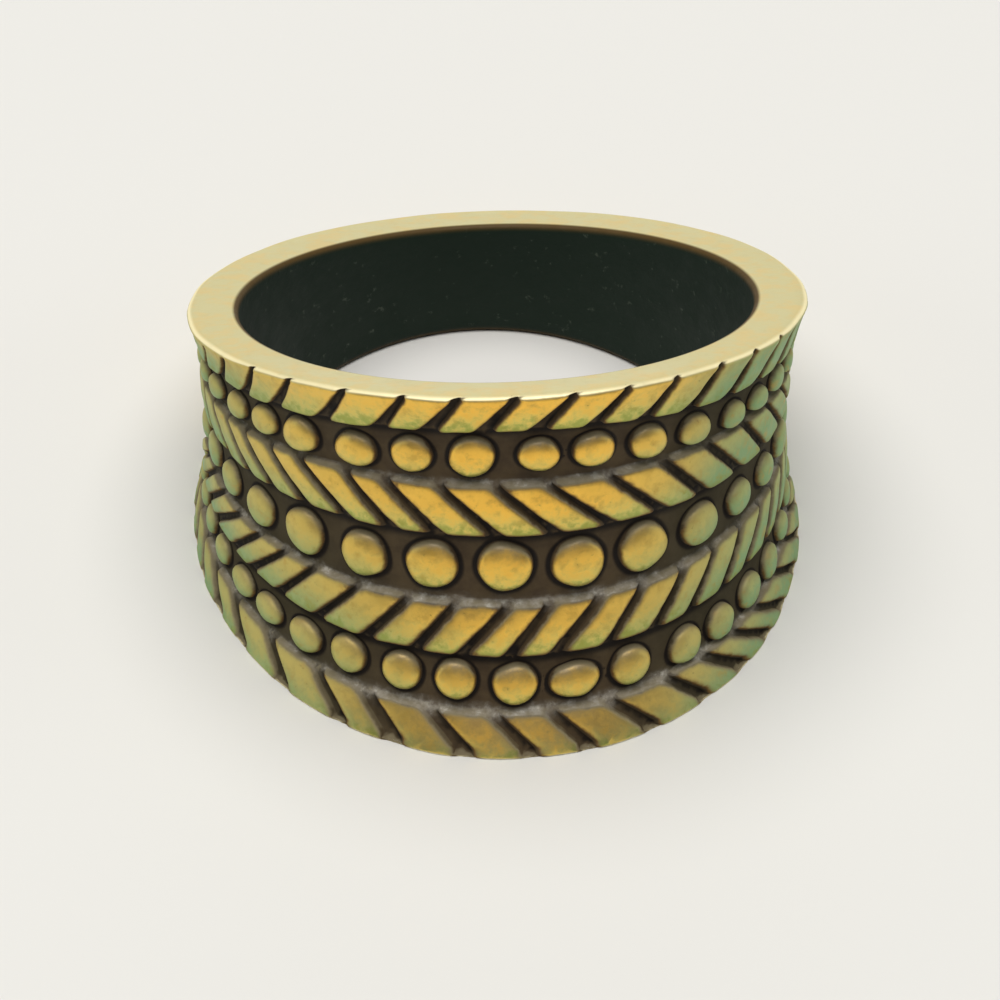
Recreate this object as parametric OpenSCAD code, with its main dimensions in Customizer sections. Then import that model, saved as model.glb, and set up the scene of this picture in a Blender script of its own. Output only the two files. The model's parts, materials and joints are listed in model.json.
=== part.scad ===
// Band ring: one cast brass band, wide at the front and narrow at the back, with rows of slanted
// bars and rows of beads raised on its outside. It lies on its lower rim, wide side to the front.

/* [Finger hole] */
// Inner diameter of the ring
bore_d = 18.2; // [16:0.1:21]

/* [Band] */
// Height of the band along the hole, half way between front and back
side_h = 9.4; // [8.6:0.1:10.4]
// Angle between each flat rim and a square cut across the hole
rim_angle = 14.6; // [10:0.1:16]
// Thickness of the wall at its waist, at the left and right sides
side_wall = 1.44; // [1.3:0.01:1.6]
// How far the outside sits behind the hole, which makes the front thinner than the back
setback = 0.55; // [0.3:0.01:0.6]
// Radius of the hollow curve that flares the outside towards both rims
flare_r = 29; // [26:1:45]

/* [Relief] */
// Height of the bars and beads above the ground between them
relief_h = 0.4; // [0.3:0.01:0.45]
// Width of the grooves between bars at the front
groove_w = 0.56; // [0.4:0.01:0.7]
// Depth of the grooves between bars, which stop short of the ground
groove_depth = 0.3; // [0.2:0.01:0.38]
// Extra rise of the floors of the outermost grooves towards the rims
rim_run_out = 5; // [0:1:6]
// Angle from the front at which the rows end and the plain back starts
relief_end = 122; // [100:1:125]

/* [Hidden] */
$fn = 120;

bore_r = bore_d / 2;
waist_r = bore_r + side_wall;
rim_slope = tan(rim_angle);
// Past every surface of the ring, measured from the hole's centre
reach = 14;
// Depth of a bead's root below the ground
bead_root = 0.2;
// How far a cutter stands out past the worn tops
cutter_rise = 0.8;
// How far a groove runs on past each edge of its row, in groove widths
overrun = 1.2;

// Rows of bars. Edges are shares of the half height. The lean of the grooves to the hole is in
// degrees, with a slash above zero, and so are their pitch and first angle at the front.
LOW = 0; HIGH = 1; LEAN = 2; PITCH = 3; FIRST = 4; AT_RIM = 5;
BAR_ROWS = [
    [ 0.79,  1.00,  38, 10.7, -4.0, 1],
    [ 0.21,  0.47, -45, 11.4,  0.4, 0],
    [-0.47, -0.21,  38, 10.0,  1.2, 0],
    [-1.00, -0.79, -46, 12.1, -2.2, 1],
];

// Rows of beads in the channels between the bars: centre as a share of the half height, radius
// at the ground at the front, and pitch and first angle in degrees.
CENTRE = 0; FOOT_R = 1; BEAD_PITCH = 2; BEAD_FIRST = 3;
BEAD_ROWS = [
    [ 0.64, 0.77, 11.8,  2.3],
    [ 0.00, 1.00, 14.6, -4.0],
    [-0.64, 0.74, 11.5, -2.2],
];

// Radius of the worn tops about the hole's axis, at an angle from the front and a height z
function top_r(angle, z) = waist_r + flare_r - sqrt(flare_r * flare_r - z * z) - setback * cos(angle);

// Slope of that surface away from the hole's axis, at height z
function flare_angle(z) = asin(z / flare_r);

// Height of a rim's plane above the middle of the band, at an angle and a radius
function rim_z(angle, r) = side_h / 2 + rim_slope * r * cos(angle);

// Radius of a rim's outer edge at an angle, by a few rounds of trial
function rim_r(angle, rounds = 5) =
    rounds == 0 ? waist_r : top_r(angle, rim_z(angle, rim_r(angle, rounds - 1)));

// Half the height of the band at an angle from the front, which sizes and places the pattern
function half_h(angle) = rim_z(angle, top_r(angle, side_h / 2));

// Size of the pattern at an angle, against its size at the front: it shrinks with the band
function scale_at(angle) = half_h(angle) / half_h(0);

// Angles of a row from its first angle to its end, one way round
function steps(at, pitch) =
    abs(at) > relief_end - abs(pitch) * scale_at(at) ? []
    : concat([at], steps(at + pitch * scale_at(at + pitch / 2), pitch));

// Angles of a whole row, both ways round from its first angle
function row_angles(first, pitch) =
    concat(steps(first, pitch), steps(first - pitch * scale_at(first), -pitch));

// Puts its children on the outside, with -Y pointing out of the ring
module on_surface(angle, share) {
    z = share * half_h(angle);
    rotate([0, 0, angle])
        translate([0, -top_r(angle, z), z])
            rotate([flare_angle(z), 0, 0])
                children();
}

// Space between two planes that meet the rims' planes in one line behind the ring
module wedge(low, high) {
    front = side_h / 2 + rim_slope * reach;
    back = side_h / 2 - rim_slope * reach;
    rotate([90, 0, 90])
        linear_extrude(2 * reach, center = true)
            polygon([
                [-reach, low * front],
                [reach, low * back],
                [reach, high * back],
                [-reach, high * front],
            ]);
}

// Waisted solid of revolution under the worn tops, or under the ground at a depth below them
module waisted(depth) {
    translate([0, setback, 0])
        rotate_extrude()
            difference() {
                translate([0, -reach])
                    square([reach, 2 * reach]);
                translate([waist_r - depth + flare_r, 0])
                    circle(flare_r);
            }
}

// Sector of the back that stays plain
module plain_back() {
    x = 2 * reach * sin(relief_end);
    y = -2 * reach * cos(relief_end);
    linear_extrude(2 * reach, center = true)
        polygon([[0, 0], [x, y], [x, 3 * reach], [-x, 3 * reach], [-x, y]]);
}

// Channel for a row of beads, down to the ground between two rows of bars
module channel(low, high) {
    difference() {
        wedge(low, high);
        waisted(relief_h);
        plain_back();
    }
}

// Grooves of one row of bars, as cutters that run out into the channels or past the rim
module grooves(row) {
    share = (row[LOW] + row[HIGH]) / 2;
    for (angle = row_angles(row[FIRST], row[PITCH])) {
        size = scale_at(angle);
        width = groove_w * size;
        length = (row[HIGH] - row[LOW]) * half_h(angle) / cos(row[LEAN]) + 2 * overrun * width;
        run_out = row[AT_RIM] * rim_run_out * sign(share);
        on_surface(angle, share)
            rotate([run_out, 0, 0])
                rotate([0, row[LEAN], 0])
                    translate([-width / 2, -cutter_rise, -length / 2])
                        cube([width, cutter_rise + groove_depth, length]);
    }
}

// One bead, a cap of a sphere that stands on the ground and is rooted a little below it
module bead(foot_r) {
    ball_r = (foot_r * foot_r + relief_h * relief_h) / (2 * relief_h);
    width = 3 * ball_r;
    intersection() {
        translate([0, ball_r, 0])
            rotate([90, 0, 0])
                sphere(ball_r, $fn = 48);
        translate([-width / 2, -relief_h, -width / 2])
            cube([width, 2 * relief_h + bead_root, width]);
    }
}

// Beads of one row, down the middle of its channel
module beads(row) {
    for (angle = row_angles(row[BEAD_FIRST], row[BEAD_PITCH]))
        on_surface(angle, row[CENTRE])
            bead(row[FOOT_R] * scale_at(angle));
}

// Turns the ring onto its lower rim, with the middle of its footprint at the origin
module lay_down() {
    front_y = -rim_r(0) * cos(rim_angle) - rim_z(0, rim_r(0)) * sin(rim_angle);
    back_y = rim_r(180) * cos(rim_angle) + rim_z(180, rim_r(180)) * sin(rim_angle);
    translate([0, -(front_y + back_y) / 2, side_h / 2 * cos(rim_angle)])
        rotate([-rim_angle, 0, 0])
            children();
}

// The band before its relief: waisted outside, two flat rims that close up behind, and the hole
module blank() {
    difference() {
        intersection() {
            waisted(0);
            wedge(-1, 1);
        }
        cylinder(h = 2 * reach, r = bore_r, center = true);
    }
}

// The band with its rows of bars standing between open channels
module barred_band() {
    difference() {
        blank();
        for (i = [0 : len(BEAD_ROWS) - 1])
            channel(BAR_ROWS[i + 1][HIGH], BAR_ROWS[i][LOW]);
        for (row = BAR_ROWS)
            grooves(row);
    }
}

module ring_band() {
    color("darkgoldenrod")
        lay_down() {
            barred_band();
            for (row = BEAD_ROWS)
                beads(row);
        }
}

ring_band();
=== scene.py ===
"""A wide tapered band ring in antiqued cast brass. It lies on its lower rim, with its wide front to -Y."""
import json
import math
import random
from collections import namedtuple

import bpy
import numpy as np
from mathutils import Matrix, Vector, noise
from mathutils.geometry import delaunay_2d_cdt


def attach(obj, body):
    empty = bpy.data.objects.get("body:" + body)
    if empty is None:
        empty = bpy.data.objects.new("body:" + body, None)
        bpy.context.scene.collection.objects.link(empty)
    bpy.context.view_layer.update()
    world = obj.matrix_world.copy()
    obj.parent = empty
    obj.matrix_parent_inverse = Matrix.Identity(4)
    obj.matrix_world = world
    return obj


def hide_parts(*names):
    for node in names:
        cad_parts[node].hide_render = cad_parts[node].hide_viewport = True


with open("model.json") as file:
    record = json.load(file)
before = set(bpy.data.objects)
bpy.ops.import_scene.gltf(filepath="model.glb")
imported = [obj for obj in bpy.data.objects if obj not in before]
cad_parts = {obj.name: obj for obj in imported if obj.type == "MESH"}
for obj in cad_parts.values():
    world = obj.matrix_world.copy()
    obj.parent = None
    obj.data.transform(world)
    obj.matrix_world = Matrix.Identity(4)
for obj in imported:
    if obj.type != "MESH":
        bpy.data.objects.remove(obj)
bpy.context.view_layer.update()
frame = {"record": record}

# Camera. A long lens looks down at the wide front from a little to the left, so that the far wall
# of the finger hole shows over the near rim. It is placed round the hole's own axis.
MM = 0.001
VIEW_DISTANCE = 204.7 * MM
VIEW_RISE = math.radians(32.6)
VIEW_TURN = math.radians(-5.8)
NEAR_CLIP = VIEW_DISTANCE / 20
FAR_CLIP = VIEW_DISTANCE * 100
LENS = 205.6
SENSOR = 36.0
PICTURE_SIDE = 1000
# Where the middle of the hole lies in the picture, in pixels from its left and top
HOLE_PIXEL = (496.2, 411.1)

hole = next(m for m in frame["record"]["mounts"] if m["name"] == "finger_hole")
hole_axis = Vector(hole["axis"])
hole_lean = math.atan2(hole_axis.y, hole_axis.z)
ring_to_row = Matrix.Translation(hole["pos_m"]) @ Matrix.Rotation(-hole_lean, 4, "X")


def towards_camera(turn, rise):
    """Direction from the hole's middle, by the angle round it from the front and the angle above it."""
    return Vector((math.sin(turn) * math.cos(rise), -math.cos(turn) * math.cos(rise), math.sin(rise)))


def camera_axes(back):
    """Right, up and back of a level camera that looks against `back`."""
    right = Vector((0, 0, 1)).cross(back).normalized()
    return right, back.cross(right), back


def add_camera():
    place = towards_camera(VIEW_TURN, VIEW_RISE) * VIEW_DISTANCE
    right, up, _ = camera_axes(place.normalized())
    metres_per_pixel = VIEW_DISTANCE * SENSOR / LENS / PICTURE_SIDE
    right_of_hole = PICTURE_SIDE / 2 - HOLE_PIXEL[0]
    above_hole = HOLE_PIXEL[1] - PICTURE_SIDE / 2
    aim = (right * right_of_hole + up * above_hole) * metres_per_pixel
    right, up, back = camera_axes((place - aim).normalized())
    data = bpy.data.cameras.new("camera")
    data.lens = LENS
    data.sensor_width = SENSOR
    data.clip_start = NEAR_CLIP
    data.clip_end = FAR_CLIP
    camera = bpy.data.objects.new("camera", data)
    in_ring = Matrix.Translation(place) @ Matrix((right, up, back)).transposed().to_4x4()
    camera.matrix_world = ring_to_row @ in_ring
    bpy.context.scene.collection.objects.link(camera)
    bpy.context.scene.camera = camera


add_camera()

# Floor and light. A plain pale table under soft studio lamps: a broad one overhead and four low
# ones, in front, behind and to each side. None of them is part of the ring.
FLOOR_SIDE = 4.0
FLOOR_COLOUR = (0.74, 0.73, 0.71, 1)
FLOOR_ROUGHNESS = 0.65
LAMPS = {
    "lamp_over": dict(place=(-0.06, 0.08, 0.90), size=1.0, watts=10.0, colour=(1.0, 0.98, 0.94)),
    "lamp_front": dict(place=(0.0, -0.60, 0.22), size=0.5, watts=0.2, colour=(1.0, 0.99, 0.95)),
    "lamp_back": dict(place=(0.05, 0.75, 0.14), size=0.5, watts=0.7, colour=(1.0, 0.99, 0.95)),
    "lamp_left": dict(place=(-0.50, -0.05, 0.16), size=0.30, watts=0.3, colour=(0.85, 1.0, 0.95)),
    "lamp_right": dict(place=(0.50, -0.05, 0.16), size=0.30, watts=0.3, colour=(0.85, 1.0, 0.95)),
}
ROOM_LIGHT = (0.12, 0.125, 0.13, 1)


def add_node(tree, kind, sockets, **settings):
    """A node of a material. A socket is set to a value, or joined to another node's output."""
    node = tree.nodes.new(kind)
    for name, value in settings.items():
        setattr(node, name, value)
    for name, value in sockets.items():
        if isinstance(value, bpy.types.NodeSocket):
            tree.links.new(value, node.inputs[name])
        else:
            node.inputs[name].default_value = value
    return node


def new_material(name):
    """An empty material with its node tree and its output."""
    material = bpy.data.materials.new(name)
    material.use_nodes = True
    tree = material.node_tree
    tree.nodes.clear()
    return material, tree, tree.nodes.new("ShaderNodeOutputMaterial")


def add_floor():
    half = FLOOR_SIDE / 2
    corners = [(-half, -half, 0), (half, -half, 0), (half, half, 0), (-half, half, 0)]
    mesh = bpy.data.meshes.new("floor")
    mesh.from_pydata(corners, [], [(0, 1, 2, 3)])
    floor = bpy.data.objects.new("floor", mesh)
    bpy.context.scene.collection.objects.link(floor)
    material, tree, output = new_material("pale_table")
    sockets = {"Base Color": FLOOR_COLOUR, "Roughness": FLOOR_ROUGHNESS}
    paint = add_node(tree, "ShaderNodeBsdfPrincipled", sockets)
    tree.links.new(paint.outputs["BSDF"], output.inputs["Surface"])
    mesh.materials.append(material)


def add_lamps():
    for name, lamp in LAMPS.items():
        data = bpy.data.lights.new(name, "AREA")
        data.shape = "DISK"
        data.size = lamp["size"]
        data.energy = lamp["watts"]
        data.color = lamp["colour"]
        light = bpy.data.objects.new(name, data)
        light.location = lamp["place"]
        light.rotation_euler = Vector(lamp["place"]).to_track_quat("Z", "Y").to_euler()
        bpy.context.scene.collection.objects.link(light)
    world = bpy.data.worlds.new("room")
    world.use_nodes = True
    world.node_tree.nodes["Background"].inputs["Color"].default_value = ROOM_LIGHT
    bpy.context.scene.world = world


add_floor()
add_lamps()

# Blank of the casting. One brass band: a round finger hole, a waisted outside that flares into a
# lip at both rims, and two flat rims that close up towards the back. Sizes are in millimetres.
HOLE_R = hole["dims"]["r_mm"]
SIDE_H = 9.4
RIM_SLOPE = math.tan(hole_lean)
WAIST_R = 10.48
RIM_R = 11.04
# How far the waist and the rims' outer edges sit behind the hole, and the edges to the right of it
WAIST_SETBACK = 0.42
RIM_SETBACK = 0.05
RIM_SIDEWAYS = 0.04
# Share of the flare that comes late, by a high power of the height, and makes the lip
LIP_SHARE = 0.35
LIP_POWER = 8
# Waves that hand filing left on the outside: depth, number round the ring, lean and start
FILE_WAVES = ((0.02, 5, 2, 0), (0.015, 11, -3, 1), (0.01, 23, 0, 2))


def rim_height(turn, radius):
    """Height of the upper rim's plane above the middle of the band."""
    return SIDE_H / 2 + RIM_SLOPE * radius * np.cos(turn)


def rim_radius(turn):
    """Radius of the rims' outer edge."""
    return RIM_R - RIM_SETBACK * np.cos(turn) + RIM_SIDEWAYS * np.sin(turn)


def half_height(turn):
    return rim_height(turn, rim_radius(turn))


def hand_finish(turn, share):
    """Slight unevenness of the outside, in millimetres."""
    waves = [depth * np.sin(count * turn + lean * share + start) for depth, count, lean, start in FILE_WAVES]
    return sum(waves)


def outside(turn, share, depth):
    """Radius and height of a point at a share of the band's height, at a depth below the worn tops."""
    waist = WAIST_R - WAIST_SETBACK * np.cos(turn)
    flare = rim_radius(turn) - waist
    flared = (1 - LIP_SHARE) * share**2 + LIP_SHARE * share**LIP_POWER
    steepness = 2 * (1 - LIP_SHARE) * share + LIP_POWER * LIP_SHARE * share ** (LIP_POWER - 1)
    top_radius = waist + flare * flared + hand_finish(turn, share)
    slope = flare * steepness / half_height(turn)
    square = 1 / np.sqrt(1 + slope**2)
    radius = top_radius - depth * square
    height = share * rim_height(turn, top_radius) + depth * slope * square
    limit = rim_height(turn, radius)
    return radius, np.clip(height, -limit, limit)


# Drawing of the pattern. It is laid out flat, at the size that it has at the front: `along` runs
# round the band and `up` over its height. Both shrink with the band towards the back, and every
# bar and bead with them. The drawing laps over each rim's outer edge, so that grooves notch it.
FRONT_H = float(half_height(0.0))
NARROWEST = float(half_height(math.pi)) / FRONT_H
PATTERN_R = 10.1
RELIEF = 0.4
RELIEF_END = math.radians(121)
RELIEF_FADE = math.radians(9)
LAP = 0.8
# A rim's worn edge: how far it comes down the outside, how far in over the rim, its bulge, how far
# past it the grooves fade out, and how much sooner they do so at the sides
Edge = namedtuple("Edge", "drop width bulge fade sooner")
UPPER_EDGE = Edge(0.24, 0.72, 0.6, 0.32, 0.6)
LOWER_EDGE = Edge(0.14, 0.18, 0.8, 0.22, 0.0)
# Angle from the front where the grooves start to fade out sooner, and the angle over which they do
SOONER_START = math.radians(56)
SOONER_RUN = math.radians(14)
# Lengths over which a groove loses its depth, and its grime and painted shade
NOTCH_RUN = 0.5
SHADE_AND_GRIME_RUN = 0.35
# A groove's depth along the rim's face, against its depth square to the flared outside
FACE_DEPTH = 1.06
# Grooves straighten up where they cross a rim's edge: sideways pull, and where before the edge it starts
NOTCH_PULL = 0.95
PULL_START = 0.3
# The rows beside the rims keep more of their size towards the sides than the band does: angle from
# the front in degrees, and how far they reach in from the upper and the lower rim for it
ROW_SPREAD = ((-60, 0.03, -0.01), (-45, 0.025, 0.0), (-20, 0.005, 0.0), (0, 0, 0), (15, 0.005, 0),
              (30, 0.035, 0.005), (45, 0.055, 0), (60, 0.06, -0.01))
# Part of the half height where they do so: where it starts and ends, and how long each takes
Zone = namedtuple("Zone", "start start_run end end_run")
UPPER_ZONE = Zone(0.45, 0.15, 0.96, 0.12)
LOWER_ZONE = Zone(0.70, 0.10, 0.97, 0.12)
# Gap between an outline's points, how much wider it gets far from the front, and where it is widest
POINT_GAP = 0.15
WIDER_GAP = 0.6
FAR_ALONG = 25
FEWEST_POINTS = 8
OUTLINE_STEPS = 241
# Room between a shape's foot and the loose points round it
CLEAR_OF_FOOT = 0.07


def along_at(turn):
    """Place in the drawing of an angle round the ring."""
    root = math.sqrt(NARROWEST)
    return 2 * PATTERN_R / root * np.arctan(root * np.tan(turn / 2))


def turn_at(along):
    """Angle round the ring of a place in the drawing."""
    root = math.sqrt(NARROWEST)
    return 2 * np.arctan(np.tan(along * root / (2 * PATTERN_R)) / root)


def scale_at(turn):
    """Size of the pattern against its size at the front."""
    return half_height(turn) / FRONT_H


def smooth(share):
    """A share, cut to 0 to 1 and eased at both ends."""
    cut = np.clip(share, 0, 1)
    return cut * cut * (3 - 2 * cut)


def fade_at(turn):
    """1 where the relief is whole, and 0 on the plain back."""
    return smooth((RELIEF_END - np.abs(turn)) / RELIEF_FADE)


def in_zone(share, zone):
    """1 in a zone beside a rim and 0 outside it. The share is measured towards that rim."""
    return smooth((share - zone.start) / zone.start_run) * smooth((zone.end - share) / zone.end_run)


def spread_rows(turn, share):
    """Share of the height at which a share of the drawing's height comes to lie."""
    degrees, from_upper, from_lower = np.transpose(ROW_SPREAD)
    angle = np.degrees(turn)
    down = in_zone(share, UPPER_ZONE) * np.interp(angle, degrees, from_upper)
    up = in_zone(-share, LOWER_ZONE) * np.interp(angle, degrees, from_lower)
    return share - down + up


def edge_beside(up):
    """Measures of the worn edge in the same half of the drawing as each place."""
    return Edge(*(np.where(up > 0, upper, lower) for upper, lower in zip(UPPER_EDGE, LOWER_EDGE)))


def notch_end(turn, up):
    """How far past a rim's outer edge the grooves reach."""
    edge = edge_beside(up)
    return edge.fade - edge.sooner * smooth((np.abs(turn) - SOONER_START) / SOONER_RUN)


def pulled_turn(along, past):
    """Angle of a place in the drawing, with the sideways pull that straightens grooves at a rim's edge."""
    run = LAP + PULL_START
    pulled = np.clip((past + PULL_START) / run, 0, 1)
    return turn_at(along - NOTCH_PULL * run * pulled * (1 - pulled))


def bend(t, bulge, start, corner, end):
    """A rounded corner: the line from its start to its end, pulled towards the corner."""
    pull = 2 * t * (1 - t) * bulge
    return (1 - t) * start + t * end + pull * (corner - (start + end) / 2)


def on_band(along, up, rise):
    """Angle, radius and height on the band of points in the drawing. rise is 0 at the ground and 1
    at the tops."""
    side = np.sign(up)
    past = np.abs(up) - FRONT_H
    turn = pulled_turn(along, past)
    scale = scale_at(turn)
    edge = edge_beside(up)
    notch = smooth((notch_end(turn, up) - past) / NOTCH_RUN)
    depth = (1 - rise) * RELIEF * np.sqrt(scale) * fade_at(turn) * notch
    radius, height = outside(turn, spread_rows(turn, up / FRONT_H), depth)
    # The rim's face starts at a corner, deeper in a groove, and all depths meet at the lap's end.
    edge_radius, _ = outside(turn, side, 0 * depth)
    corner = edge_radius - depth * FACE_DEPTH
    lap_end = edge_radius - LAP * scale
    face_radius = corner + (lap_end - corner) * np.clip(past / LAP, 0, 1)
    face_height = side * rim_height(turn, face_radius)
    # Between the outside and the face, the corner is rounded.
    start_radius, start_height = outside(turn, side * (1 - edge.drop / FRONT_H), depth)
    end_radius = corner + (lap_end - corner) * edge.width / LAP
    end_height = side * rim_height(turn, end_radius)
    t = np.clip((past + edge.drop) / (edge.drop + edge.width), 0, 1)
    bent_radius = bend(t, edge.bulge, start_radius, corner, end_radius)
    bent_height = bend(t, edge.bulge, start_height, side * rim_height(turn, corner), end_height)
    parts = [t <= 0, t >= 1]
    radius = np.select(parts, [radius, face_radius], bent_radius)
    height = np.select(parts, [height, face_height], bent_height)
    return turn, radius, height


# A bar or bead to the loose points round it: its middle, its reach, half its height, the outlines of
# its foot and of its top as distances by angle, and the rise of its top
Shape = namedtuple("Shape", "along up reach half_up foot edge top")


class Drawing:
    """Points of the pattern, with the outlines that the mesh has to follow."""

    def __init__(self):
        self.points = []
        self.edges = []
        self.shapes = []

    def add(self, along, up, rise, grime=0.0, ledge=0.0, polish=0.0, low=0.0):
        """Adds points, and returns the number of the first one."""
        first = len(self.points)
        values = (along, up, rise, grime, ledge, polish, low)
        wide = np.broadcast_arrays(*(np.asarray(value, float) for value in values))
        self.points.extend(zip(*(x.ravel().tolist() for x in wide)))
        return first

    def add_loop(self, along, up, rise, **finish):
        """Adds a closed outline."""
        first = self.add(along, up, rise, **finish)
        count = len(along)
        self.edges.extend((first + i, first + (i + 1) % count) for i in range(count))

    def add_around_shapes(self, along, up, rise, grime, ledge):
        """Adds loose points on the ground and on the shapes' tops, and leaves out those on their walls."""
        polish = np.zeros_like(rise)
        low = np.zeros_like(rise)
        for shape in self.shapes:
            within = (np.abs(along - shape.along) < shape.reach) & (np.abs(up - shape.up) < shape.reach)
            near = np.flatnonzero(within)
            dx = along[near] - shape.along
            dy = up[near] - shape.up
            angle = np.arctan2(dy, dx)
            away = np.hypot(dx, dy)
            on_wall = away < shape.foot(angle)
            on_top = away < shape.edge(angle)
            rise[near[on_wall]] = np.nan
            rise[near[on_top]] = shape.top(dx, dy)[on_top]
            polish[near[on_top]] = 1.0
            low[near[on_top]] = lower_part(dy[on_top], shape.half_up)
        kept = ~np.isnan(rise)
        self.add(along[kept], up[kept], rise[kept], grime[kept], ledge[kept], polish[kept], low[kept])


drawing = Drawing()


def lower_part(y, half_up):
    """0 at a shape's upper edge and 1 at its lower one, where the top is painted duller and greener as
    shade.
    """
    return 0.5 - y / (2 * half_up)


def wander(angle, seed, waves):
    """Smooth chance round a closed outline, from -1 to 1."""
    return np.array([noise.noise(Vector((math.cos(a) * waves, math.sin(a) * waves, seed))) for a in angle])


def walk_round(outline, gap):
    """Points a gap apart round an outline that is given as a distance from its middle by angle."""
    angle = np.linspace(0, 2 * math.pi, OUTLINE_STEPS)
    radius = outline(angle)
    x = radius * np.cos(angle)
    y = radius * np.sin(angle)
    walked = np.concatenate([[0], np.cumsum(np.hypot(np.diff(x), np.diff(y)))])
    count = max(FEWEST_POINTS, round(walked[-1] / gap))
    marks = np.arange(count) * walked[-1] / count
    return np.interp(marks, walked, x), np.interp(marks, walked, y)


def point_gap(along):
    """Gap between an outline's points. The far, narrow part of the band needs fewer."""
    return POINT_GAP * (1 + WIDER_GAP * min(1, abs(along) / FAR_ALONG))


def run_on(turns):
    """Places of a row's shapes in the drawing: those at the front, carried on evenly to the row's ends."""
    places = [float(along_at(math.radians(t))) for t in turns]
    pitch = (places[-1] - places[0]) / (len(places) - 1)
    end = float(along_at(RELIEF_END))
    while places[-1] + pitch < end:
        places.append(places[-1] + pitch)
    while places[0] - pitch > -end:
        places.insert(0, places[0] - pitch)
    return places


# Rows of slanted bars. Four rows, cut by hand in the wax, lean against each other in pairs. The
# grooves between bars stop short of the ground, and the outer rows run out over the rims.
# Edges are shares of the half height, and grooves are angles from the front in degrees. Cuts hold an
# angle and the lean and width of the grooves there. Grooves open downwards, as a file cuts them: the
# taper is the lean of each of their sides. Walls, and dust with painted sheen, are shares of the usual.
BarRow = namedtuple("BarRow", "low high cuts taper wall dust grooves")
BAR_ROWS = (
    BarRow(
        low=0.790, high=1.0, cuts=((0, 38, 0.20),), taper=4.0, wall=0.6, dust=0.0,
        grooves=(-68, -58.5, -49, -37, -25, -15, -4.5, 6, 16.5, 27, 37.5, 47.5, 57, 65.5),
    ),
    BarRow(
        low=0.180, high=0.446, cuts=((0, -45, 0.20),), taper=0.7, wall=1.0, dust=0.6,
        grooves=(-67.5, -60, -51.5, -42.5, -32, -23, -11.5, 0, 11, 23, 34.5, 46, 57, 67),
    ),
    BarRow(
        low=-0.492, high=-0.235, cuts=((-70, 50, 0.20), (-50, 44, 0.20), (-35, 38, 0.20)),
        taper=0.7, wall=1.0, dust=1.0,
        grooves=(-74, -65.5, -58, -49.5, -39, -28, -18, -8, 1, 11, 21, 31, 40, 49.5, 57.5, 65),
    ),
    BarRow(
        low=-1.0, high=-0.810, cuts=((-35, -46, 0.36), (-10, -46, 0.31), (25, -46, 0.29), (45, -56, 0.22)),
        taper=0.7, wall=1.0, dust=1.0,
        grooves=(-65, -52.5, -39, -28, -14.5, -2, 9, 21.5, 34, 44, 53, 61),
    ),
)
Groove = namedtuple("Groove", "along lean width")
# Rise of the grooves' floors over the channels' ground, and the run of the ramp up to them
GROOVE_FLOOR = 0.3
PLATEAU_RAMP = 0.07
# How far the bars' feet reach past the edges of their row, and past a rim's outer edge
END_WALL = 0.15
RIM_OVERRUN = 0.5
# A bar's outline: how square its corners are, its wobble, and the least distance of a side
SQUARENESS = 12
BAR_WOBBLE = 0.03
BAR_WAVES = 1.8
THINNEST = 0.03
# A bar's wall from its foot: inset in millimetres, rise from the groove's floor to the top, and polish
BAR_WALL = ((0.0, 0.0, 0.0), (0.045, 0.42, 0.10), (0.085, 0.74, 0.30), (0.13, 0.88, 0.55),
            (0.20, 0.96, 0.80), (0.32, 1.0, 1.0))
# Room between the inner end of that wall and the loose points on the top, and round a bar's outline
CLEAR_OF_WALL = 0.1
CLEAR_OF_BAR = 0.1
# A bar's top: how far it falls off to its ends, and the rise and the waves of its dents
CROWN = 0.13
DENT = 0.03
DENT_WAVES = (3, 4)
# Least and most of what the hand leaves to chance: a groove's lean in degrees and its width against
# the row's, the lift of a bar's top, and its tilt along the band and up it
LEAN_CHANCE = (-3, 3)
WIDTH_CHANCE = (0.8, 1.3)
LIFT_CHANCE = (-0.05, 0.03)
TILT_CHANCES = ((-0.06, 0.06), (-0.05, 0.05))
# Reach of the grey dust with painted sheen above and below the upper foot of a row, and of the painted
# shadow below its lower foot
DUST_AND_SHEEN_ABOVE = 0.26
DUST_AND_SHEEN_BELOW = 0.48
SHADOW_BELOW = 0.45
# Grime in the grooves, and grime with painted shadow at a bar's foot apart from its lower end, where the
# painted shadow makes it whole
GROOVE_GRIME = 0.35
BAR_GRIME_AND_SHADOW = 0.65
# Where the front ends and the run from there to the sides, in degrees, and the dust and painted sheen
# missing there
FRONT_END = 20
SIDE_RUN = 35
SIDE_DUST_AND_SHEEN_LOSS = 0.45
# Step of the seeds from one row to the next
ROW_SEED = 100
chance = random.Random(7)


def row_span(row):
    """Lowest and highest foot of a row's bars. At a rim they run on past the edge."""
    low = row.low * FRONT_H - END_WALL if row.low > -1 else -FRONT_H - RIM_OVERRUN
    high = row.high * FRONT_H + END_WALL if row.high < 1 else FRONT_H + RIM_OVERRUN
    return low, high


def row_middle(row):
    return (row.low + row.high) / 2 * FRONT_H


def groove_floor(row, up):
    """Rise of the floor between bars: up from the channels' ground over a short ramp at the row's edges."""
    low, high = row_span(row)
    from_low = up - low if row.low > -1 else np.full_like(up, LAP)
    from_high = high - up if row.high < 1 else np.full_like(up, LAP)
    return GROOVE_FLOOR * np.clip(np.minimum(from_low, from_high) / PLATEAU_RAMP, 0, 1)


def side_at(along):
    """0 at the front of the ring and 1 at its sides."""
    return smooth((np.abs(np.degrees(turn_at(along))) - FRONT_END) / SIDE_RUN)


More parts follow.
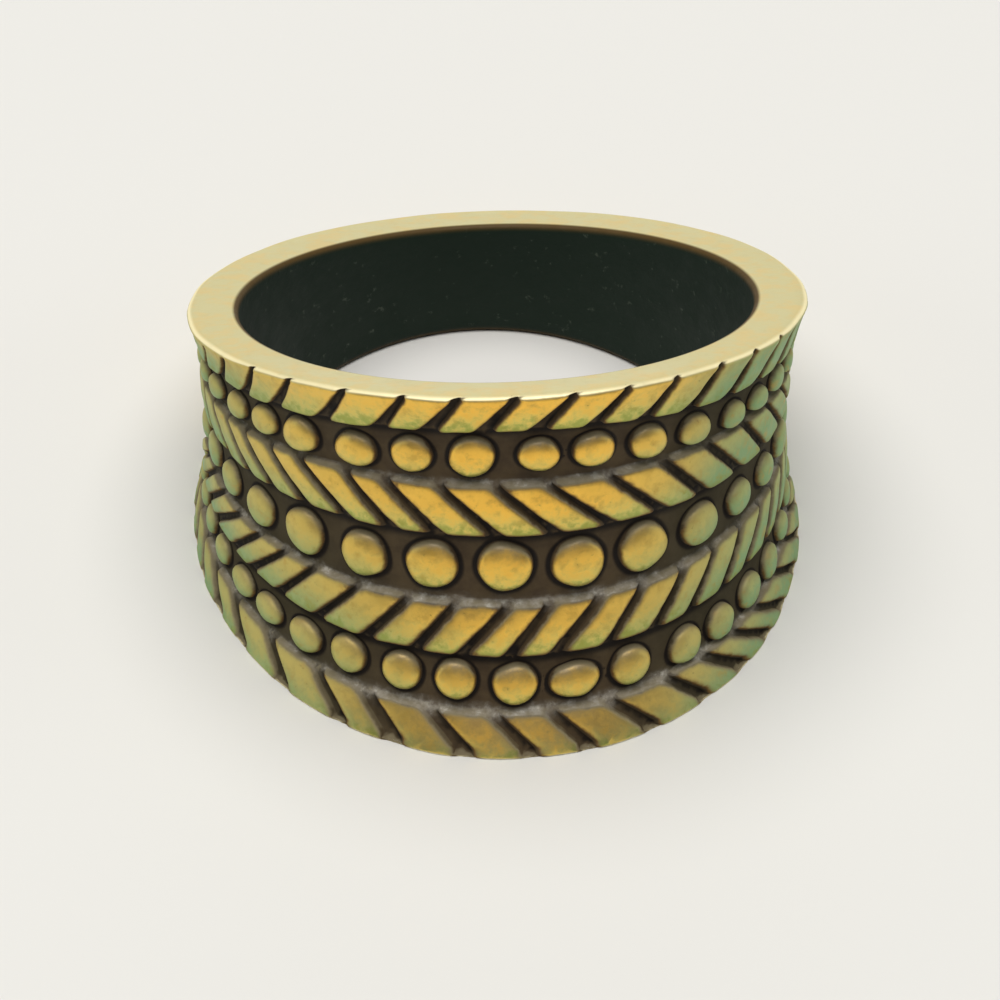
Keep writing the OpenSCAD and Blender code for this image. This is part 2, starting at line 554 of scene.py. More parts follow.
def dust_and_sheen_at(along, up):
    """Dust with painted sheen along the upper edge of every row of bars below the rim, from 0 to 1."""
    dust = np.zeros_like(up)
    for row in BAR_ROWS:
        above = up - row_span(row)[1]
        here = np.where(above > 0, 1 - above / DUST_AND_SHEEN_ABOVE, 1 + above / DUST_AND_SHEEN_BELOW)
        dust = np.maximum(dust, here * row.dust)
    return dust * (1 - SIDE_DUST_AND_SHEEN_LOSS * side_at(along))


def grime_at(up):
    """Grime in the grooves, and painted shadow under the lower edge of every row of bars but the lowest,
    from 0 to 1."""
    grime = np.zeros_like(up)
    for row in BAR_ROWS:
        low, high = row_span(row)
        below = low - up
        under = np.where((row.low > -1) & (below > 0), 1 - (below / SHADOW_BELOW) ** 2, 0)
        grime = np.maximum(grime, np.where((up > low) & (up < high), GROOVE_GRIME, under))
    return grime


def bar_sides(row, left, right):
    """Middle of the bar between two grooves, and its four sides as normals and distances."""
    low, high = row_span(row)
    middle_up = (low + high) / 2
    climb = middle_up - row_middle(row)
    at_left = left.along + climb * math.tan(left.lean)
    at_right = right.along + climb * math.tan(right.lean)
    middle = (at_left + at_right) / 2
    half = (at_right - at_left) / 2
    left_lean = left.lean - math.radians(row.taper)
    right_lean = right.lean + math.radians(row.taper)
    sides = (
        (-math.cos(left_lean), math.sin(left_lean), half * math.cos(left_lean) - left.width / 2),
        (math.cos(right_lean), -math.sin(right_lean), half * math.cos(right_lean) - right.width / 2),
        (0.0, 1.0, high - middle_up),
        (0.0, -1.0, middle_up - low),
    )
    return middle, middle_up, sides


def box_outline(angle, sides, inset):
    """Distance by angle from the middle to the outline of a box with rounded corners."""
    closeness = 0
    for normal_x, normal_y, away in sides:
        facing = normal_x * np.cos(angle) + normal_y * np.sin(angle)
        closeness = closeness + np.maximum(0, facing / max(away - inset, THINNEST)) ** SQUARENESS
    return closeness ** (-1 / SQUARENESS)


def add_bar(row, left, right, seed):
    """One bar. Its foot, walls and top are closed outlines inside each other."""
    middle, middle_up, sides = bar_sides(row, left, right)
    half_up = (row.high - row.low) / 2 * FRONT_H
    shift = row_middle(row) - middle_up
    lift = chance.uniform(*LIFT_CHANCE)
    tilt_along, tilt_up = (chance.uniform(*limits) for limits in TILT_CHANCES)

    def outline(angle, inset):
        return box_outline(angle, sides, inset) + BAR_WOBBLE * wander(angle, seed, BAR_WAVES)

    def foot(angle):
        return outline(angle, -CLEAR_OF_FOOT)

    def edge(angle):
        return outline(angle, BAR_WALL[-1][0] * row.wall + CLEAR_OF_WALL)

    def top(x, y):
        crown = -CROWN * np.minimum(1.0, ((y - shift) / half_up) ** 2)
        dents = DENT * np.sin(DENT_WAVES[0] * x + seed) * np.sin(DENT_WAVES[1] * y)
        return 1 + lift + crown + tilt_along * x + tilt_up * y + dents

    for inset, climb, polish in BAR_WALL:
        x, y = walk_round(lambda a: outline(a, inset * row.wall), point_gap(middle))
        floor = groove_floor(row, middle_up + y)
        rise = floor + (top(x, y) - floor) * climb
        low = lower_part(y - shift, half_up)
        # Painted shadow: the grime at the foot grows whole towards the bar's lower end
        grime = BAR_GRIME_AND_SHADOW + (1 - BAR_GRIME_AND_SHADOW) * smooth(2 * low - 1) if inset == 0 else 0.0
        ledge = dust_and_sheen_at(middle + x, middle_up + y)
        drawing.add_loop(middle + x, middle_up + y, rise, grime=grime, ledge=ledge, polish=polish, low=low)
    reach = float(outline(np.linspace(0, 2 * math.pi, OUTLINE_STEPS), 0.0).max()) + CLEAR_OF_BAR
    drawing.shapes.append(Shape(middle, middle_up, reach, half_up, foot, edge, top))


def add_bars():
    for number, row in enumerate(BAR_ROWS):
        grooves = []
        angles, leans, widths = zip(*row.cuts)
        for place in run_on(row.grooves):
            angle = math.degrees(turn_at(place))
            lean = np.interp(angle, angles, leans) + chance.uniform(*LEAN_CHANCE)
            width = np.interp(angle, angles, widths) * chance.uniform(*WIDTH_CHANCE)
            grooves.append(Groove(place, math.radians(lean), width))
        for i, (left, right) in enumerate(zip(grooves, grooves[1:])):
            add_bar(row, left, right, ROW_SEED * number + i)


add_bars()

# Rows of beads. Three rows of domed beads stand in the channels between the bars, the middle row
# the largest. Each was set by hand, so their outlines, heights and gaps differ a little.
# Middles are shares of the half height, places are angles from the front in degrees.
BeadRow = namedtuple("BeadRow", "middle foot_r places")
BEAD_ROWS = (
    BeadRow(0.619, 0.80, (-77, -67, -57.5, -47.5, -34.5, -22.5, -10.5, 2.5, 13.5, 25.5, 37, 48.5, 58, 67.5)),
    BeadRow(-0.026, 1.04, (-73, -61, -48, -33.5, -19, -4, 11, 25.5, 40, 53, 64.5)),
    BeadRow(-0.645, 0.79, (-76, -66.5, -57.5, -47, -36.5, -25, -14, -2, 10, 22, 35, 45, 55.5, 65, 74.5)),
)
# Beads that stand out, by row and angle: width and height against the row's own, and how far
# below the row's middle they sit
Odd = namedtuple("Odd", "width height drop")
ODD_BEADS = {
    (0, -47.5): Odd(1.10, 1.12, 0.04), (0, -34.5): Odd(1.10, 1.03, 0.10), (0, -10.5): Odd(1.02, 1.08, 0.05),
    (0, 2.5): Odd(0.98, 0.86, 0.0), (0, 13.5): Odd(1.0, 0.90, 0.0), (0, 25.5): Odd(1.0, 1.0, 0.07),
    (0, 37): Odd(1.0, 0.98, 0.05), (0, 48.5): Odd(0.95, 0.96, 0.12), (0, 58): Odd(0.92, 0.95, 0.12),
    (1, -73): Odd(0.88, 0.90, 0.20), (1, -61): Odd(0.90, 0.92, 0.14), (1, -48): Odd(0.97, 1.0, 0.05),
    (1, -33.5): Odd(0.95, 0.97, 0.08), (1, -4): Odd(0.97, 1.0, -0.08), (1, 40): Odd(0.98, 0.90, 0.10),
    (1, 53): Odd(0.83, 0.80, 0.12), (1, 64.5): Odd(0.78, 0.78, 0.15),
    (2, -76): Odd(1.0, 0.85, 0.12), (2, -66.5): Odd(1.1, 0.84, 0.20), (2, -57.5): Odd(1.08, 0.80, 0.22),
    (2, -47): Odd(1.05, 0.90, 0.16), (2, -2): Odd(1.08, 1.0, 0.08), (2, 10): Odd(1.22, 0.84, 0.18),
    (2, 22): Odd(1.0, 0.98, 0.12), (2, 35): Odd(1.0, 0.95, 0.36), (2, 45): Odd(1.0, 0.92, 0.42),
    (2, 55.5): Odd(1.02, 0.90, 0.34), (2, 65): Odd(1.0, 0.90, 0.40), (2, 74.5): Odd(0.95, 0.90, 0.25),
}
USUAL = Odd(1.0, 1.0, 0.0)
# A bead from its moat to its crown: share of the foot's radius, rise, grime with painted shadow, and polish
DOME = ((1.24, 0.0, 0.0, 0.0), (1.11, -0.02, 0.85, 0.0), (1.0, -0.05, 1.0, 0.0), (0.97, 0.30, 0.0, 0.22),
        (0.925, 0.53, 0.0, 0.55), (0.85, 0.71, 0.0, 0.88), (0.71, 0.87, 0.0, 1.0), (0.51, 0.98, 0.0, 1.0),
        (0.27, 1.04, 0.0, 1.0))
# Painted shadow: the dark ring of grime lies deeper under a bead than above it
MOAT_SAG = 0.25
# Room left between a bead and the bars, and between its outlines where the bars cut it short
CHANNEL_GAP = 0.05
OUTLINE_GAP = 0.015
# A bead's outline: its wobble, and its farthest reach with the moat, against its larger half size
BEAD_WOBBLE = 0.07
BEAD_WAVES = 1.1
BEAD_REACH = 1.4
# Least and most of what the hand leaves to chance: a bead's rise, its tilt, its width and height
# against those set, and its place up the channel
CROWN_CHANCE = (-0.06, 0.05)
TILT_CHANCE = (-0.06, 0.06)
ACROSS_CHANCE = (0.98, 1.03)
TALL_CHANCE = (0.97, 1.02)
PLACE_CHANCE = (-0.02, 0.02)
BEAD_SEED = 1000


def add_bead(middle, middle_up, half_along, half_up, channel, seed):
    """One bead: outlines inside each other, from the moat round its foot up to its crown."""

    def outline(angle):
        oval = 1 / np.hypot(np.cos(angle) / half_along, np.sin(angle) / half_up)
        return oval * (1 + BEAD_WOBBLE * wander(angle, seed, BEAD_WAVES))

    def foot(angle):
        return outline(angle) * DOME[0][0] + CLEAR_OF_FOOT

    crown = 1 + chance.uniform(*CROWN_CHANCE)
    tilt = chance.uniform(*TILT_CHANCE)
    for number, (share, rise, grime, polish) in enumerate(DOME):
        x, y = walk_round(lambda a: outline(a) * share, point_gap(middle))
        sag = MOAT_SAG * max(0.0, share - 1.0)
        low = lower_part(y, half_up)
        rises = rise * (crown + tilt * x)
        clear = CHANNEL_GAP + number * OUTLINE_GAP
        ups = np.clip(middle_up + y - sag, channel[0] + clear, channel[1] - clear)
        grimes = np.maximum(grime, grime_at(ups)) if rise <= 0 else 0.0
        ledges = dust_and_sheen_at(middle + x, ups) if number == 0 else 0.0
        drawing.add_loop(middle + x, ups, rises, grime=grimes, ledge=ledges, polish=polish, low=low)
    drawing.add(middle, middle_up, DOME[-1][1] * crown, polish=1.0, low=0.5)
    # A bead's top is all outlines, so no loose points go there and its own edge and top are nothing.
    reach = BEAD_REACH * max(half_along, half_up)
    shape = Shape(middle, middle_up, reach, half_up, foot, np.zeros_like, lambda x, y: np.zeros_like(x))
    drawing.shapes.append(shape)


def add_beads():
    for number, row in enumerate(BEAD_ROWS):
        channel = (row_span(BAR_ROWS[number + 1])[1], row_span(BAR_ROWS[number])[0])
        for i, place in enumerate(run_on(row.places)):
            turn = math.degrees(turn_at(place))
            odd = ODD_BEADS.get((number, round(2 * turn) / 2), USUAL)
            width = row.foot_r * odd.width * chance.uniform(*ACROSS_CHANCE)
            height = row.foot_r * odd.height * chance.uniform(*TALL_CHANCE)
            middle_up = row.middle * FRONT_H - odd.drop + chance.uniform(*PLACE_CHANCE)
            add_bead(place, middle_up, width, height, channel, BEAD_SEED + ROW_SEED * number + i)


add_beads()

# Ground, groove floors and plain back. Loose points fill what the bars and beads leave, in rows
# along the band, along the rims' rounded edges, and over the smooth shank behind.
COLUMNS = 360
# Gap between loose points along the ground, and the smaller one at the rims' edges and bars' feet
GROUND_GAP = 0.22
FINE_GAP = GROUND_GAP * 0.8
# Step between the ground's even rows, and how far they stay inside the lower and the upper edge
ROW_STEP = GROUND_GAP * 0.87
ROWS_FROM = 0.4
ROWS_TO = 0.3
# Distance of the rows that run just outside the bars' feet
BESIDE_FOOT = 0.1
# Places of the rows over a rim's rounded edge, as shares of its width
EDGE_LINES = (0.0, 0.2, 0.4, 0.6, 0.8, 1.0, 1.25)
# Rows of the plain back, how far they stay inside its edges, and where they start past the relief
BACK_ROWS = 9
BACK_INSET = 0.8
BACK_START = 0.2
# The ground's unevenness: rise, waves and seed
GROUND_RISE = 0.06
GROUND_WAVES = 1.3
GROUND_SEED = 3.0
# Points of the drawing that lie closer together than this are one
SAME_POINT = 1e-6
column_turn = np.linspace(-math.pi, math.pi, COLUMNS + 1)
column_along = along_at(column_turn)
relief_along = float(along_at(RELIEF_END))


def ground_at(along, up):
    """Rise of the ground at a place: the channels, with the groove floors above them."""
    places = [Vector((a * GROUND_WAVES, u * GROUND_WAVES, GROUND_SEED)) for a, u in zip(along, up)]
    rise = GROUND_RISE * np.array([noise.noise(place) for place in places])
    for row in BAR_ROWS:
        low, high = row_span(row)
        within = (up > low) & (up < high)
        rise = np.where(within, rise + groove_floor(row, up), rise)
    return rise


def edge_ups():
    """Rows of points over the rims' rounded edges."""
    sides = ((-1, LOWER_EDGE), (1, UPPER_EDGE))
    return [side * (FRONT_H - edge.drop + line * (edge.drop + edge.width)) for side, edge in sides
            for line in EDGE_LINES]


def add_ground():
    rows = [(up, GROUND_GAP) for up in np.arange(-FRONT_H + ROWS_FROM, FRONT_H - ROWS_TO, ROW_STEP)]
    fine = edge_ups()
    for row in BAR_ROWS:
        low, high = row_span(row)
        if row.low > -1:
            fine += [low, low + PLATEAU_RAMP, low - BESIDE_FOOT]
        if row.high < 1:
            fine += [high, high - PLATEAU_RAMP, high + BESIDE_FOOT]
    rows += [(up, FINE_GAP) for up in fine]
    for i, (up, gap) in enumerate(rows):
        along = np.arange(-relief_along, relief_along, gap) + (i % 2) * gap / 2
        ups = np.full_like(along, up)
        rise = ground_at(along, ups)
        drawing.add_around_shapes(along, ups, rise, grime_at(ups), dust_and_sheen_at(along, ups))


def add_back():
    """Points of the plain back. Returns those at the two ends of the drawing, which are one place."""
    ups = list(np.linspace(-FRONT_H + BACK_INSET, FRONT_H - BACK_INSET, BACK_ROWS)) + edge_ups()
    plain = np.abs(column_along) > relief_along + BACK_START
    plain[[0, -1]] = False
    for up in ups:
        drawing.add(column_along[plain], up, 1.0, polish=1.0)
    return [[drawing.add(end, up, 1.0, polish=1.0) for end in column_along[[0, -1]]] for up in ups]


add_ground()
seam = add_back()
borders = [drawing.add(column_along, side * (FRONT_H + LAP), 1.0, polish=1.0) for side in (-1, 1)]


def mesh_of_drawing():
    """The drawing's points and triangles, with the seam at the back closed, and its lower and upper
    border."""
    flat = [Vector(point[:2]) for point in drawing.points]
    made, _, faces, sources, _, _ = delaunay_2d_cdt(flat, drawing.edges, [], 0, SAME_POINT)
    number = {source: new for new, old in enumerate(sources) for source in old}
    # Where outlines cross, a new point is made, which lies on the ground.
    crossings = np.array([(0.0, 0.0) if old else place for place, old in zip(made, sources)])
    table = []
    for place, old, floor in zip(made, sources, ground_at(*crossings.T)):
        table.append(drawing.points[old[0]] if old else (*place, floor, BAR_GRIME_AND_SHADOW, 0.0, 0.0, 0.0))
    joined = np.arange(len(made))
    for left, right in seam + [(first, first + COLUMNS) for first in borders]:
        joined[number[right]] = number[left]
    edges = [[int(joined[number[first + i]]) for i in range(COLUMNS + 1)] for first in borders]
    return np.array(table), joined[np.array(faces)].tolist(), edges


# Rims and finger hole. The rims are filed flat and their inner edges eased. The hole is plain and
# smooth, and wears the same dark patina as the ground outside.
HOLE_EDGE = 0.32
# Shares of a rim's width, and of its eased inner edge, at which rings of points lie
RIM_RINGS = (0.3, 0.62, 0.88)
EASED_RINGS = (0.0, 0.2, 0.4, 0.6, 0.8, 1.0)
HOLE_RINGS = 15
# How much farther the metal is rubbed at the sides
SIDE_RUB = 0.45
# Angle from the front in degrees, and how strongly green tarnish with a painted green reflection dulls
# the worn metal there, where 1 is wholly, in the upper half of the band and in the lower half
TARNISH_AND_REFLECTION = (
    (-180, 0.6, 0.6), (-130, 0.7, 0.7), (-85, 1.2, 1.2), (-65, 0.8, 0.95), (-45, 0.4, 0.8),
    (-25, 0.15, 0.4), (-10, 0.0, 0.1), (5, 0.0, 0.1), (15, 0.1, 0.25), (30, 0.45, 0.65),
    (45, 1.2, 1.05), (60, 1.4, 1.3), (85, 1.4, 1.3), (130, 0.7, 0.7), (180, 0.6, 0.6),
)
# What the finish goes by on each point of the ring
MEASURES = ("grime", "ledge", "polish", "low", "on_rim", "inside", "tarnish_and_reflection")


def rim_and_hole_rows():
    """Rings of points from the upper rim through the hole to the lower rim: radius, height, inside."""
    turn = column_turn[:-1]
    lap_end = rim_radius(turn) - LAP * scale_at(turn)
    inner = HOLE_R + HOLE_EDGE
    rows = []
    for share in RIM_RINGS:
        radius = lap_end + (inner - lap_end) * share
        rows.append((radius, rim_height(turn, radius), 0.0))
    for t in EASED_RINGS:
        radius = np.full_like(turn, HOLE_R + HOLE_EDGE * (1 - t) ** 2)
        rows.append((radius, rim_height(turn, radius) - HOLE_EDGE * t**2, t))
    upper = list(rows)
    end = rim_height(turn, HOLE_R) - HOLE_EDGE
    for share in np.linspace(1, -1, HOLE_RINGS + 2)[1:-1]:
        rows.append((np.full_like(turn, HOLE_R), share * end, 1.0))
    return rows + [(radius, -height, inside) for radius, height, inside in reversed(upper)]


def tarnish_and_reflection_at(turn, height):
    """Green tarnish with a painted green reflection at an angle round the ring and a height on the band."""
    degrees, in_upper, in_lower = np.transpose(TARNISH_AND_REFLECTION)
    angle = np.degrees(turn)
    upper = smooth(0.5 + height / half_height(turn))
    return upper * np.interp(angle, degrees, in_upper) + (1 - upper) * np.interp(angle, degrees, in_lower)


def outside_points(table):
    """The drawing's points on the band: angle, radius, height and every measure but the tarnish."""
    along, up, rise, grime, ledge, polish, low = table.T
    turn, radius, height = on_band(along, up, rise)
    edge = edge_beside(up)
    past = np.abs(up) - FRONT_H
    relief = fade_at(turn) * np.clip((notch_end(turn, up) - past) / SHADE_AND_GRIME_RUN, 0, 1)
    rubbed = np.maximum(polish, 1 - relief) ** (1 - SIDE_RUB * side_at(along))
    on_rim = np.clip(0.5 + past / (edge.drop + edge.width), 0, 1)
    finish = [grime * relief, ledge * relief, rubbed, low * relief, on_rim, np.zeros_like(turn)]
    return np.stack([turn, radius, height, *finish], 1)


def ring_points(radius, height, inside):
    """One ring of points on a rim or in the hole, with the same columns."""
    one = np.ones(COLUMNS)
    none = np.zeros(COLUMNS)
    return np.stack([column_turn[:-1], radius, height, none, none, one, none, one, inside * one], 1)


def faces_between(row, other):
    """Faces from one closed row of points to another. Both rows end with their first point."""
    return [(row[i], row[i + 1], other[i + 1], other[i]) for i in range(COLUMNS)]


def leave_out_unused(points, faces):
    """The points that faces use, and the faces with their new numbers."""
    used = np.unique([i for face in faces for i in face])
    renumber = np.zeros(len(points), int)
    renumber[used] = np.arange(len(used))
    return points[used], [[int(renumber[i]) for i in face] for face in faces]


def build_ring():
    """The whole band as one closed mesh, with the measures that its finish goes by on its points."""
    table, faces, (lower, upper) = mesh_of_drawing()
    rings = [outside_points(table)]
    count = len(table)
    previous = upper
    for radius, height, inside in rim_and_hole_rows():
        rings.append(ring_points(radius, height, inside))
        here = list(range(count, count + COLUMNS)) + [count]
        faces += faces_between(previous, here)
        previous = here
        count += COLUMNS
    faces += faces_between(previous, lower)
    points, faces = leave_out_unused(np.concatenate(rings), faces)
    turn, radius, height, *finish = points.T
    places = np.stack([radius * np.sin(turn), -radius * np.cos(turn), height], 1) * MM
    mesh = bpy.data.meshes.new("ring")
    mesh.from_pydata(places.tolist(), [], faces)
    mesh.transform(ring_to_row)
    mesh.polygons.foreach_set("use_smooth", [True] * len(mesh.polygons))
    for name, values in zip(MEASURES, [*finish, tarnish_and_reflection_at(turn, height)]):
        mesh.attributes.new(name, "FLOAT", "POINT").data.foreach_set("value", values.astype(np.float32))
    ring = bpy.data.objects.new("cast_band", mesh)
    bpy.context.scene.collection.objects.link(ring)
    return ring


ring = build_ring()

# Finish of the brass. The casting was darkened all over with a brown patina and then rubbed back,
# so the tops and rims shine yellow, the walls stay dull grey and the ground is nearly black. Some of
# the colour is painted light: shadow under the rows and beads and at the feet, shade on the tops'
# lower edges and the rims' inner edges, a highlight on the rims' outer edges, sheen and light where
# walls, ledges and domes face up, and a green reflection at the sides.
WORN_FRONT = (1.00, 0.60, 0.10, 1)
# Painted shade on the lower part of each top
LOW_EDGE_SHADE = (0.66, 0.61, 0.18, 1)
# Painted shade, darker, at each top's lowest end
LOW_END_SHADE = (0.25, 0.33, 0.06, 1)
# Green tarnish with a painted green reflection, at the sides
SIDE_TARNISH_AND_REFLECTION = (0.275, 0.42, 0.19, 1)
BROWN_BLOT = (0.60, 0.36, 0.07, 1)
DARK_PIT = (0.16, 0.11, 0.04, 1)
# Dust with a painted dull reflection, where tops face up
CROWN_DUST_AND_REFLECTION = (0.26, 0.20, 0.11, 1)
RIM_METAL = (0.60, 0.54, 0.275, 1)
RIM_STAIN = (0.70, 0.52, 0.21, 1)
# Painted highlight on the rims' rounded outer edges
RIM_EDGE_HIGHLIGHT = (0.95, 0.84, 0.50, 1)
# Painted shade on the rims' eased inner edges
RIM_INNER_SHADE = (0.085, 0.050, 0.014, 1)
WALL_METAL = (0.20, 0.105, 0.030, 1)
# Dust with painted light, on walls that face up
WALL_DUST_AND_LIGHT = (0.23, 0.19, 0.11, 1)
GROUND_PATINA = (0.093, 0.062, 0.030, 1)
GROUND_STAIN = (0.045, 0.028, 0.018, 1)
# Ground at the sides, darker and greener with the tarnish and painted green reflection
GROUND_SIDE = (0.048, 0.042, 0.022, 1)
# Grime and painted shade round the feet
FOOT_GRIME_AND_SHADE = (0.010, 0.006, 0.004, 1)
# Dust with painted sheen on ledges that face up, and pale specks in it that are partly painted glints
LEDGE_DUST_AND_SHEEN = (0.38, 0.345, 0.29, 1)
DUST_AND_SHEEN_SPECK = (0.70, 0.66, 0.58, 1)
HOLE_PATINA = (0.014, 0.026, 0.017, 1)
HOLE_DUST = (0.09, 0.11, 0.08, 1)
# Three sizes of cloudy chance over the metal, in clouds to the metre
CLOUDS = {"clouds": 1100.0, "blots": 2600.0, "fine": 5200.0}
CLOUD_DETAIL = 4.0
CLOUD_ROUGHNESS = 0.6
# A mask is a measure of the surface, as it is or through a ramp. The ramp's numbers are the two
# values that it runs between, and what it turns them into where that isn't 0 and 1.
# These measures are made from others, in this order, by one operation on masks.
MADE_MEASURES = {
    # How near the lower end of its bar or bead a place lies, with an uneven border
    "lower": ("ADD", ("low",), ("blots", 0.3, 0.7, -0.15, 0.15)),
    # Dust with a painted dull reflection on what faces up, most at the front
    "crown": ("MULTIPLY", ("upward", 0.25, 0.90), ("blots", 0.3, 0.6, 0.6, 1.0),
              ("tarnish_and_reflection", 0.0, 1.0, 1.0, 0.45)),
    # Grime and painted shade round the feet, less on what faces up, and the dust with painted light that
    # shows there instead
    "foot_grime": ("MULTIPLY", ("grime",), ("upward", 0.35, 0.80, 1.0, 0.3)),
    "wall_dust": ("SUBTRACT", ("upward", 0.65, 0.92, 0.0, 0.8), ("foot_grime",)),
    # Grey dust with painted sheen along the rows in clouds, and the part of it where the surface faces up,
    # where the painted sheen is lit most
    "dust": ("MULTIPLY", ("ledge",), ("clouds", 0.35, 0.60, 0.45, 1.0)),
    "settled_and_lit": ("MULTIPLY", ("dust",), ("upward", 0.0, 0.75)),
    # How far the rubbing went, less under the dust and painted sheen and with an uneven border, and where it
    # bared the metal
    "level": ("ADD", ("polish",), ("dust", 0.3, 1.0, 0.0, -0.35), ("blots", 0.3, 0.7, -0.12, 0.12)),
    "bared": ("MULTIPLY", ("level", 0.25, 0.85)),
    "in_hole": ("MULTIPLY", ("inside", 0.0, 0.3)),
    # Bared metal that neither the dust with painted reflection nor the tarnish with painted reflection
    # dulls, and the gloss that follows from it
    "clean": ("MULTIPLY", ("bared",), ("on_rim", 0.1, 0.5, 1.0, 0.5), ("crown", 0.0, 1.0, 1.0, 0.3),
              ("tarnish_and_reflection", 0.2, 1.0, 1.0, 0.45)),
    "metallic": ("SUBTRACT", ("clean",), ("in_hole",)),
    "roughness": ("ADD", ("clouds", 0.3, 0.7, 0.38, 0.48), ("bared", 0.0, 1.0, 0.25, 0.0),
                  ("tarnish_and_reflection", 0.2, 1.0, 0.0, 0.15)),
    "shine": ("SUBTRACT", ("bared", 0.0, 1.0, 0.2, 0.5), ("in_hole", 0.0, 1.0, 0.0, 0.35)),
}
# Coats that lie over the base colour of each part of the ring: a colour, and masks that multiply
TOP_COATS = (
    # Painted shade: the lower part of each top is duller and greener
    (LOW_EDGE_SHADE, ("lower", 0.3, 1.1)),
    # Green tarnish with a painted green reflection at the sides
    (SIDE_TARNISH_AND_REFLECTION, ("tarnish_and_reflection",), ("lower", 0.0, 1.0, 0.6, 1.0)),
    (BROWN_BLOT, ("blots", 0.45, 0.72, 0.0, 0.6), ("clouds", 0.4, 0.6, 0.4, 1.0)),
    (DARK_PIT, ("fine", 0.66, 0.76, 0.0, 0.4)),
    # Dust with a painted dull reflection where tops face up
    (CROWN_DUST_AND_REFLECTION, ("crown",)),
    # Painted shade: each top's lowest end is darker
    (LOW_END_SHADE, ("lower", 0.74, 1.06, 0.0, 0.62)),
)
RIM_COATS = (
    (RIM_STAIN, ("clouds", 0.40, 0.66, 0.0, 0.6)),
    # Painted highlight on the rim's rounded outer edge
    (RIM_EDGE_HIGHLIGHT, ("on_rim", 0.3, 0.5), ("on_rim", 0.6, 0.95, 1.0, 0.0)),
    # Painted shade on the rim's eased inner edge
    (RIM_INNER_SHADE, ("inside", 0.05, 0.35)),
)
WALL_COATS = (
    # Painted light: walls that face up are lighter grey, with dust
    (WALL_DUST_AND_LIGHT, ("upward", 0.25, 0.75)),
)
GROUND_COATS = (
    (GROUND_STAIN, ("clouds", 0.35, 0.7, 0.0, 0.55)),
    # Ground darker and greener at the sides, with the tarnish and painted green reflection
    (GROUND_SIDE, ("tarnish_and_reflection", 0.1, 0.9, 0.0, 0.7)),
    # Grime and painted shade round the feet, less where the surface faces up
    (FOOT_GRIME_AND_SHADE, ("foot_grime", 0.05, 0.95)),
    # Dust with painted light where walls face up
    (WALL_DUST_AND_LIGHT, ("wall_dust",)),
    # Dust with painted sheen where the ledges face up, and pale specks with painted glints
    (LEDGE_DUST_AND_SHEEN, ("settled_and_lit",), ("blots", 0.35, 0.60, 0.35, 1.0)),
    (DUST_AND_SHEEN_SPECK, ("settled_and_lit",), ("blots", 0.56, 0.68, 0.0, 0.6)),
)
HOLE_COATS = (
    (HOLE_DUST, ("blots", 0.62, 0.76, 0.0, 0.6)),
)
# Where each of those parts is on the ring
ON_RIM = ("on_rim", 0.2, 0.5)
ON_WALL = ("level", 0.15, 0.5)
ON_TOP = ("level", 0.35, 0.95)
IN_HOLE = ("inside", 0.5, 1.0)
# Grain of the cast surface
GRAIN_STRENGTH = 0.5
GRAIN_DEPTH = 0.05 * MM


def measure(tree, name):
    return add_node(tree, "ShaderNodeAttribute", {}, attribute_name=name).outputs["Fac"]


def cloudy(tree, scale):
    """Cloudy chance over the metal."""
    place = add_node(tree, "ShaderNodeTexCoord", {}).outputs["Object"]
    sockets = {"Vector": place, "Scale": scale, "Detail": CLOUD_DETAIL, "Roughness": CLOUD_ROUGHNESS}
    return add_node(tree, "ShaderNodeTexNoise", sockets).outputs["Fac"]


def facing_up(tree):
    """1 where the surface lies level, 0 where it stands upright and less where it hangs over."""
    facing = add_node(tree, "ShaderNodeNewGeometry", {}).outputs["Normal"]
    return add_node(tree, "ShaderNodeSeparateXYZ", {"Vector": facing}).outputs["Z"]


def ramp(tree, value, low, high, to_low=0.0, to_high=1.0):
    """A value that goes smoothly from to_low to to_high as another goes from low to high."""
    sockets = {"Value": value, "From Min": low, "From Max": high, "To Min": to_low, "To Max": to_high}
    return add_node(tree, "ShaderNodeMapRange", sockets, interpolation_type="SMOOTHSTEP").outputs["Result"]


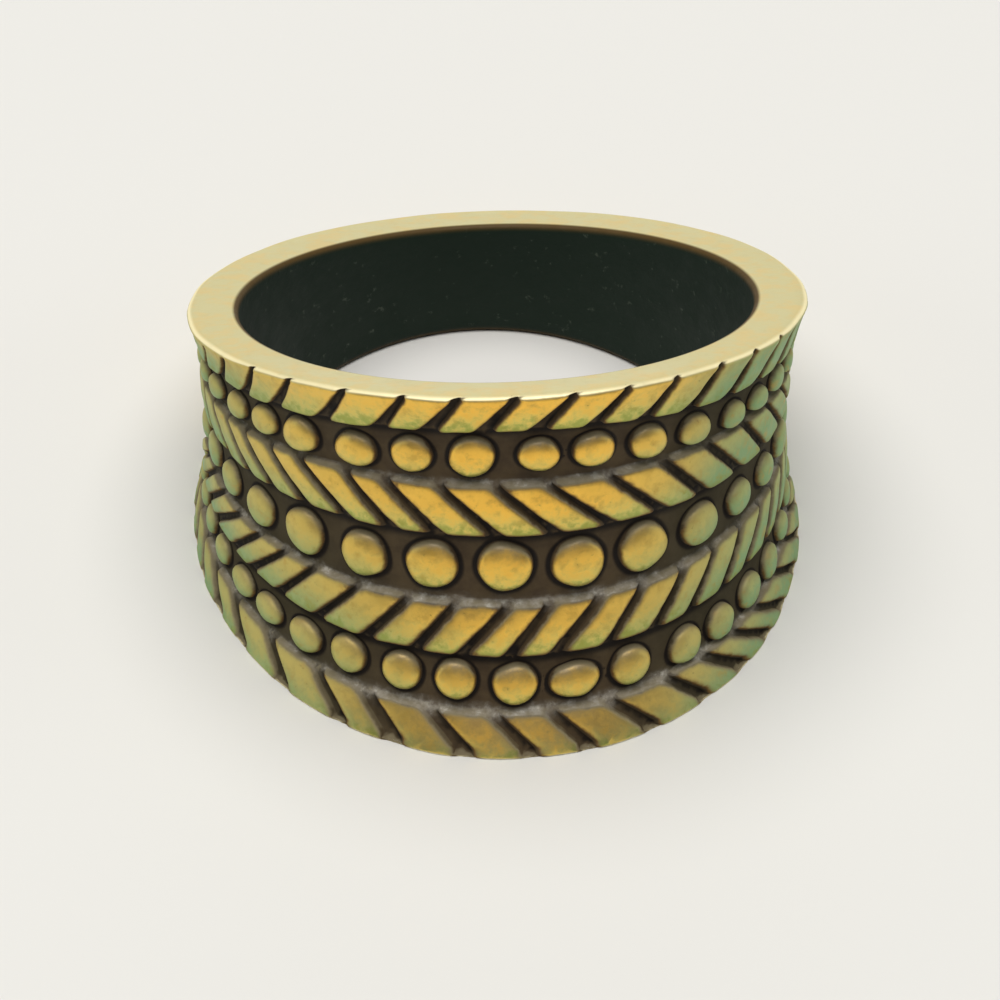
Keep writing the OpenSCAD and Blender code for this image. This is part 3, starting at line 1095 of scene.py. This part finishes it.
def combine(tree, at, operation, masks):
    """One value from masks. `at` holds the measures of the surface by name."""
    values = [ramp(tree, at[name], *limits) if limits else at[name] for name, *limits in masks]
    total = values[0]
    for value in values[1:]:
        total = add_node(tree, "ShaderNodeMath", {0: total, 1: value}, operation=operation).outputs[0]
    return total


def lay_coats(tree, at, colour, coats):
    """A colour with coats over it, one after another, each where its masks say."""
    for coat, *masks in coats:
        share = combine(tree, at, "MULTIPLY", masks)
        colour = add_node(tree, "ShaderNodeMix", {0: share, 6: colour, 7: coat}, data_type="RGBA").outputs[2]
    return colour


def make_brass():
    material, tree, output = new_material("antiqued_brass")
    at = {name: measure(tree, name) for name in MEASURES}
    at |= {name: cloudy(tree, scale) for name, scale in CLOUDS.items()}
    at["upward"] = facing_up(tree)
    for name, (operation, *masks) in MADE_MEASURES.items():
        at[name] = combine(tree, at, operation, masks)
    tops = lay_coats(tree, at, WORN_FRONT, TOP_COATS)
    rims = lay_coats(tree, at, RIM_METAL, RIM_COATS)
    walls = lay_coats(tree, at, WALL_METAL, WALL_COATS)
    ground = lay_coats(tree, at, GROUND_PATINA, GROUND_COATS)
    hole_wall = lay_coats(tree, at, HOLE_PATINA, HOLE_COATS)
    worn = lay_coats(tree, at, tops, [(rims, ON_RIM)])
    colour = lay_coats(tree, at, ground, [(walls, ON_WALL), (worn, ON_TOP), (hole_wall, IN_HOLE)])
    sockets = {"Height": at["blots"], "Strength": GRAIN_STRENGTH, "Distance": GRAIN_DEPTH}
    grain = add_node(tree, "ShaderNodeBump", sockets)
    sockets = {
        "Base Color": colour,
        "Metallic": at["metallic"],
        "Roughness": at["roughness"],
        "Specular IOR Level": at["shine"],
        "Normal": grain.outputs["Normal"],
    }
    shader = add_node(tree, "ShaderNodeBsdfPrincipled", sockets)
    tree.links.new(shader.outputs["BSDF"], output.inputs["Surface"])
    return material


ring.data.materials.append(make_brass())
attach(ring, "root")
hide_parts("ring_band")

bpy.context.scene.view_settings.view_transform = "Standard"
